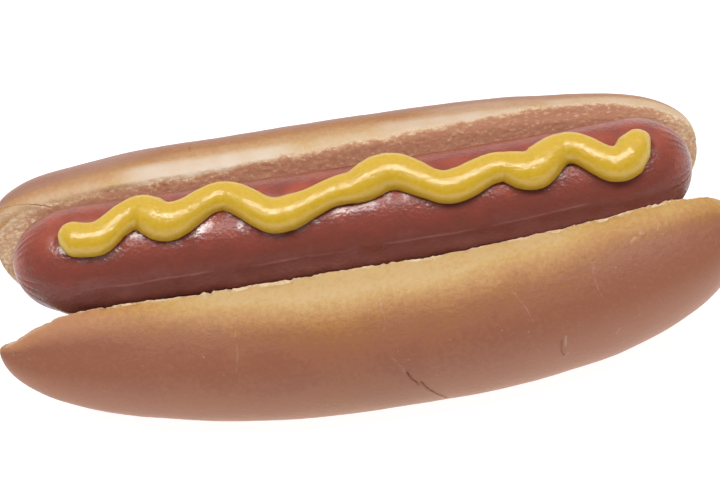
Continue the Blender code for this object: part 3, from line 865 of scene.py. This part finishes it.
# Table mustard: ground seed, turmeric and vinegar in a smooth paste, wet on top
paste, paste_shader = new_material("yellow_mustard_paste")
where = add_node(paste, "ShaderNodeTexCoord").outputs["Object"]
PASTE = 0.75 * MM               # drawn coarser than the ground seed, which is too fine
paste_grain = add_node(paste, "ShaderNodeTexNoise", {"Vector": where, "Scale": 1 / PASTE,
                                                     "Detail": 3.0})
paste_colour = add_node(paste, "ShaderNodeValToRGB", {"Fac": paste_grain.outputs["Fac"]})
fill_ramp(paste_colour, ((0.3, "#c8a01f"), (0.7, "#d2aa26")))
paste_bump = add_node(paste, "ShaderNodeBump", {"Height": paste_grain.outputs["Fac"],
                                                "Strength": 1.0, "Distance": 0.2 * MM})
set_inputs(paste_shader, {
    "Base Color": paste_colour.outputs[0], "Coat Normal": paste_bump.outputs[0],
    "Coat Weight": 0.31, "Coat Roughness": 0.02, "Coat IOR": 2.5, "Roughness": 0.45, "IOR": 1.3,
    "Subsurface Weight": 0.15, "Subsurface Radius": (1.0, 0.6, 0.12),
    "Subsurface Scale": 1.5 * MM})
mustard.data.materials.append(paste)
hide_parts("mustard")
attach(mustard, "root")

# ===================================================================== table, light and camera
# An opal sheet lit from below, so that nothing under the bun is left in the dark. A bright wall
# behind lights the backs and tops, and a long narrow soft box overhead gives the glints.
TABLE_RADIUS = 3.0
table_mesh = bpy.data.meshes.new("table")
disc = bmesh.new()
bmesh.ops.create_circle(disc, cap_ends=True, segments=96, radius=TABLE_RADIUS)
disc.to_mesh(table_mesh)
disc.free()
table = bpy.data.objects.new("table", table_mesh)
bpy.context.scene.collection.objects.link(table)
opal, opal_shader = new_material("opal_acrylic_sheet")
set_inputs(opal_shader, {
    "Base Color": linear("#989898"), "Roughness": 0.8, "Specular IOR Level": 0.1,
    "Emission Color": linear("#ffffff"), "Emission Strength": 0.92})
table.data.materials.append(opal)

room = bpy.data.worlds.new("white_room")
room.use_nodes = True
sky_direction = add_node(room, "ShaderNodeTexCoord").outputs["Generated"]
sky_height = add_node(room, "ShaderNodeSeparateXYZ", {0: sky_direction}).outputs["Z"]
horizon = add_node(room, "ShaderNodeMapRange", {"Value": sky_height, "From Min": 0.02,
                                                "From Max": 0.08, "To Min": 1.0, "To Max": 0.0})
# a bright wall high up behind, a dark room in front
toward_wall = add_node(room, "ShaderNodeVectorMath", {0: sky_direction, 1: (0, 0.57, 0.82)},
                       operation="DOT_PRODUCT")
wall = add_node(room, "ShaderNodeMapRange", {"Value": toward_wall.outputs["Value"], "From Min": -0.1,
                                             "From Max": 1.0, "To Min": 0.06, "To Max": 0.7})
sky_strength = add_node(room, "ShaderNodeMath", {0: horizon.outputs[0], 1: wall.outputs[0]},
                        operation="MAXIMUM")
set_inputs(room.node_tree.nodes["Background"], {"Strength": sky_strength.outputs[0],
                                                "Color": linear("#ffffff")})
bpy.context.scene.world = room

lamp = bpy.data.lights.new("overhead_soft_box", "AREA")
lamp.shape = "RECTANGLE"
lamp.size = 1.1
lamp.size_y = 0.22
lamp.energy = 7.6
soft_box = bpy.data.objects.new("overhead_soft_box", lamp)
LEAN_BACK = math.radians(-6)
LAMP_DISTANCE = 0.9
soft_box.location = (0, LAMP_DISTANCE * math.sin(LEAN_BACK), LAMP_DISTANCE * math.cos(LEAN_BACK))
soft_box.rotation_euler = (-LEAN_BACK, 0, 0)
bpy.context.scene.collection.objects.link(soft_box)

bpy.context.scene.view_settings.view_transform = "Standard"
ELEVATION = math.radians(55)
ROLL = math.radians(8.7)
DISTANCE = 0.5
AIM_RIGHT = 0.73 * MM           # of the sausage's middle
AIM_UP = -5.2 * MM
up = Vector((0, math.sin(ELEVATION), math.cos(ELEVATION)))
back = Vector((0, -math.cos(ELEVATION), math.sin(ELEVATION)))
right = Vector((1, 0, 0))
sausage_middle = drawing_origin + Vector((0, 0, SAUSAGE_AXIS_Z * MM))
aim = sausage_middle + right * AIM_RIGHT + up * AIM_UP
camera = bpy.data.objects.new("camera", bpy.data.cameras.new("camera"))
bpy.context.scene.collection.objects.link(camera)
camera_right = right * math.cos(ROLL) - up * math.sin(ROLL)
camera_up = right * math.sin(ROLL) + up * math.cos(ROLL)
camera.matrix_world = Matrix.Translation(aim + back * DISTANCE) @ Matrix(
    (camera_right, camera_up, back)).transposed().to_4x4()
camera.data.lens = 112
camera.data.sensor_width = 36
bpy.context.scene.camera = camera
